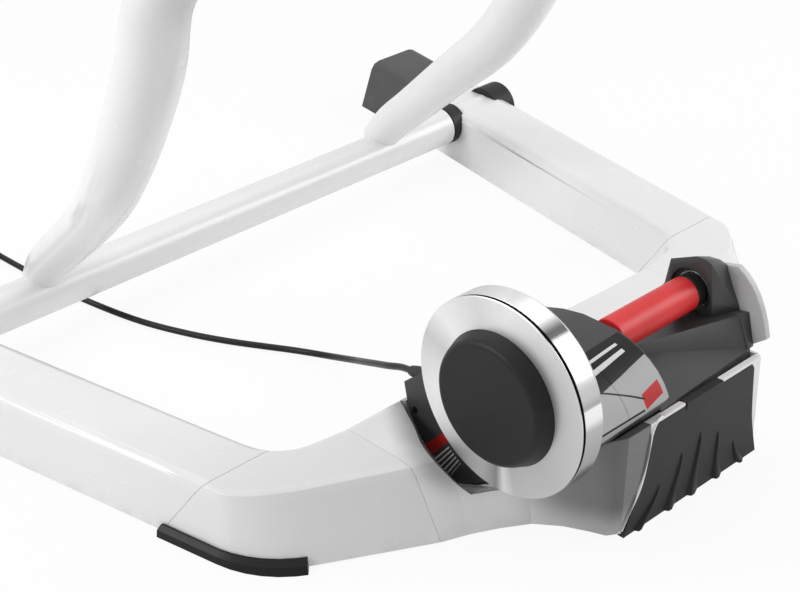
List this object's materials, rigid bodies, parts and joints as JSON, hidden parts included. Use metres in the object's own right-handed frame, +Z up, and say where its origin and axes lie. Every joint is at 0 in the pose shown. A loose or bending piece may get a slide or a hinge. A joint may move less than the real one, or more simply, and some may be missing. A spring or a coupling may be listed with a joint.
{
  "type": "wheel-on turbo trainer",
  "caption": "Wheel-on turbo trainer: U-shaped base, hinged fork that clamps a bike's rear axle, roller with flywheel and magnetic brake, and a remote shifter on its cable.",
  "frame": {"origin": "on the floor, under the middle of the trainer's footprint without its cable", "axes": "+X to the rider's right along the roller, +Y the riding direction, +Z up"},
  "size_m": [0.8366, 0.8132, 0.5005],
  "materials": {
    "white_paint": "gloss white powder coat",
    "white_plastic": "gloss white moulded plastic",
    "black_plastic": "matte black moulded plastic",
    "drum_plastic": "dark grey moulded plastic",
    "cable_sheath": "black cable sheath",
    "band_rubber": "black rubber",
    "roller_rubber": "red matte roller coating",
    "steel": "plated steel",
    "flywheel_steel": "turned and polished steel",
    "aluminium": "cast and turned aluminium"
  },
  "bodies": {
    "base": {"right_leg": "white_paint", "left_leg": "white_paint", "right_corner_shell": "white_plastic", "left_corner_shell": "white_plastic", "right_front_cap": "black_plastic", "left_front_cap": "black_plastic", "right_corner_foot": "black_plastic", "left_corner_foot": "black_plastic", "right_pivot_bush": "black_plastic", "left_pivot_bush": "black_plastic", "right_pivot_cap": "black_plastic", "left_pivot_cap": "black_plastic", "saddle_shell": "white_plastic", "rear_panel": "black_plastic", "drum_housing": "drum_plastic", "drum_cover": "drum_plastic", "lower_casing": "drum_plastic", "bearing_arm": "drum_plastic", "side_cover": "white_plastic", "left_bearing": "steel", "right_bearing": "steel", "cable_gland": "black_plastic", "cable_run": "cable_sheath", "cable_coil": "cable_sheath", "cable_tail": "cable_sheath", "shifter_body": "drum_plastic", "shifter_band": "band_rubber"},
    "fork": {"cross_tube": "white_paint", "left_arm": "white_paint", "right_arm": "white_paint", "left_clamp_barrel": "white_paint", "right_clamp_barrel": "white_paint"},
    "spinner": {"roller_shaft": "steel", "roller_sleeve": "roller_rubber", "roller_collar": "black_plastic", "flywheel": "flywheel_steel", "flywheel_cap": "black_plastic", "brake_ring": "aluminium"},
    "plunger": {"plunger_cup": "steel", "lever_pin": "steel"},
    "lever": {"clamp_lever": "black_plastic"},
    "thrust": {"adjuster_cup": "steel"},
    "adjuster": {"adjuster_screw": "steel", "adjuster_knob": "black_plastic"},
    "magnet": {"magnet_carriage": "steel"},
    "thumb": {"shifter_lever": "black_plastic"}
  },
  "joints": [
    {"name": "fork_pivot", "type": "hinge", "parent": "base", "child": "fork", "pos_m": [0, 0.20295, 0.0414], "axis": [1, 0, 0], "range_deg": [-20, 28]},
    {"name": "roller_spin", "type": "hinge", "parent": "base", "child": "spinner", "pos_m": [0, -0.29955, 0.131], "axis": [1, 0, 0], "continuous": true},
    {"name": "plunger_slide", "type": "slide", "parent": "fork", "child": "plunger", "axis": [-1, 0, 0], "range_m": [0, 0.0074]},
    {"name": "lever_turn", "type": "hinge", "parent": "plunger", "child": "lever", "pos_m": [-0.1736, -0.0733, 0.4045], "axis": [0, -1, 0], "range_deg": [0, 95]},
    {"name": "adjuster_slide", "type": "slide", "parent": "fork", "child": "thrust", "axis": [1, 0, 0], "range_m": [-0.0039, 0.0073]},
    {"name": "knob_turn", "type": "hinge", "parent": "thrust", "child": "adjuster", "pos_m": [0.1, -0.0733, 0.4045], "axis": [1, 0, 0], "range_deg": [-360, 660]},
    {"name": "magnet_turn", "type": "hinge", "parent": "base", "child": "magnet", "pos_m": [0, -0.29955, 0.131], "axis": [1, 0, 0], "range_deg": [0, 24]},
    {"name": "shifter_turn", "type": "hinge", "parent": "base", "child": "thumb", "pos_m": [-0.272, 0.31445, 0.022], "axis": [0, 0, 1], "range_deg": [0, 60]}
  ],
  "couplings": [
    {"joint": "lever_turn", "follows": "plunger_slide", "rad_per_m": 222.2},
    {"joint": "knob_turn", "follows": "adjuster_slide", "rad_per_m": 1570.8},
    {"joint": "magnet_turn", "follows": "shifter_turn", "ratio": 0.395}
  ]
}
